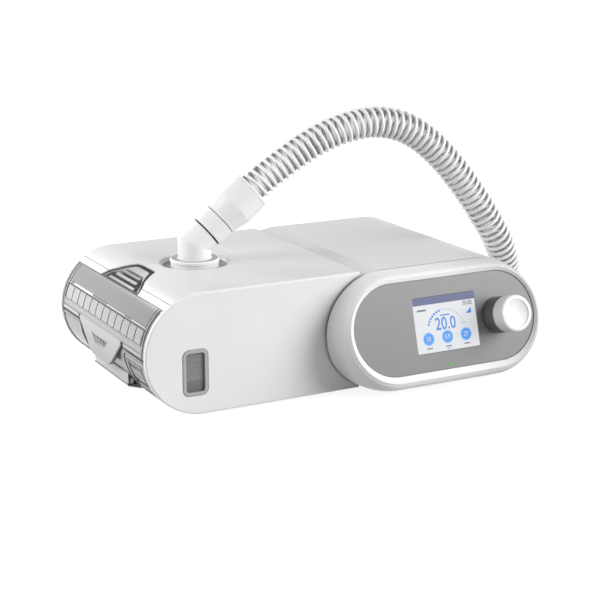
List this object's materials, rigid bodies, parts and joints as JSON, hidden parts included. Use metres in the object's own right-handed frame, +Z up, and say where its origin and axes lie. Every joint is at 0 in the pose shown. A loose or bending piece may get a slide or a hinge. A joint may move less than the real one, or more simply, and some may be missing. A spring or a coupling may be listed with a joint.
{
  "type": "cpap machine",
  "caption": "Bedside breathing therapy device with a side humidifier tank, a tilted round-ended console with screen and knob, and a swivel elbow with a ribbed hose.",
  "frame": {"origin": "centre of the machine's footprint without its hose, on the surface that the feet stand on", "axes": "+Z up, the console faces -Y, the tank's round end faces -X"},
  "size_m": [0.3672, 0.4926, 0.192],
  "materials": {
    "white_shell": "satin moulded",
    "grey_top": "satin moulded",
    "plate_grey": "fine satin",
    "dark_grey": "satin",
    "smoke_clear": "smoky clear, polished",
    "clip_grey": "satin",
    "steel": "brushed",
    "aluminium_plate": "brushed",
    "rubber_dark": "matt",
    "seal_rubber": "matt silicone",
    "window_clear": "polished",
    "screen_clear": "polished",
    "knob_white": "satin",
    "light_green": "polished, lit",
    "board_green": "solder mask",
    "black_plastic": "matt",
    "foam_grey": "open foam",
    "filter_grey": "fibre pad",
    "blower_white": "moulded",
    "impeller_plastic": "moulded",
    "heater_ring": "film element",
    "hose_clear": "clear with white spiral bead",
    "cuff_white": "soft satin"
  },
  "bodies": {
    "base": {"humidifier_housing": "white_shell", "humidifier_top_cover": "grey_top", "outlet_socket": "dark_grey", "level_window_frame": "clip_grey", "level_window_lens": "window_clear", "heater_plate": "aluminium_plate", "heater_element": "heater_ring", "air_coupling": "seal_rubber", "main_upper_shell": "grey_top", "main_lower_shell": "grey_top", "case_screw_1": "steel", "case_screw_2": "steel", "case_screw_3": "steel", "case_screw_4": "steel", "rear_panel": "grey_top", "filter_pad": "filter_grey", "power_inlet": "black_plastic", "blower_housing": "blower_white", "blower_cover": "blower_white", "blower_motor": "steel", "foam_silencer": "foam_grey", "main_board": "board_green", "console_bezel": "white_shell", "face_plate": "plate_grey", "screen_lens": "screen_clear", "display_module": "black_plastic", "display_board": "board_green", "knob_collar": "dark_grey", "encoder": "black_plastic", "light_pipe": "light_green", "foot_1": "rubber_dark", "foot_2": "rubber_dark", "foot_3": "rubber_dark", "foot_4": "rubber_dark"},
    "water_tank": {"tank_base": "smoke_clear", "tank_lid": "smoke_clear", "tank_grip": "smoke_clear", "tank_seal": "seal_rubber", "tank_heat_plate": "steel", "clip_pin": "steel"},
    "clip": {"lid_clip": "clip_grey"},
    "elbow_swivel": {"elbow": "cuff_white", "elbow_sleeve": "cuff_white", "hose_cuff": "cuff_white", "hose_free": "hose_clear", "hose_coil": "hose_clear", "mask_cuff": "cuff_white"},
    "knob_plunger": {"encoder_plunger": "black_plastic"},
    "knob": {"knob_cap": "knob_white", "knob_shaft": "steel"},
    "impeller": {"blower_impeller": "impeller_plastic"},
    "filter_door": {"filter_cover": "grey_top"}
  },
  "joints": [
    {"name": "tank_slide", "type": "slide", "parent": "base", "child": "water_tank", "axis": [-1, 0, 0], "range_m": [0, 0.13]},
    {"name": "clip_hinge", "type": "hinge", "parent": "water_tank", "child": "clip", "pos_m": [-0.14815, 0.02599, 0.0473], "axis": [0, 1, 0], "range_deg": [0, 60]},
    {"name": "elbow_turn", "type": "hinge", "parent": "base", "child": "elbow_swivel", "pos_m": [-0.07705, 0.02579, 0.085], "axis": [0, 0, 1], "range_deg": [0, 55]},
    {"name": "knob_press", "type": "slide", "parent": "base", "child": "knob_plunger", "axis": [0, 0.9593, -0.2823], "range_m": [0, 0.001], "stiffness_N_per_m": 800, "springref_m": -0.0015},
    {"name": "knob_turn", "type": "hinge", "parent": "knob_plunger", "child": "knob", "pos_m": [0.11035, -0.08213, 0.0497], "axis": [0, -0.9593, 0.2823], "continuous": true},
    {"name": "impeller_spin", "type": "hinge", "parent": "base", "child": "impeller", "pos_m": [0.04995, 0.03549, 0.05], "axis": [0, 0, 1], "continuous": true},
    {"name": "filter_pull", "type": "slide", "parent": "base", "child": "filter_door", "axis": [0, 1, 0], "range_m": [0, 0.01]}
  ]
}
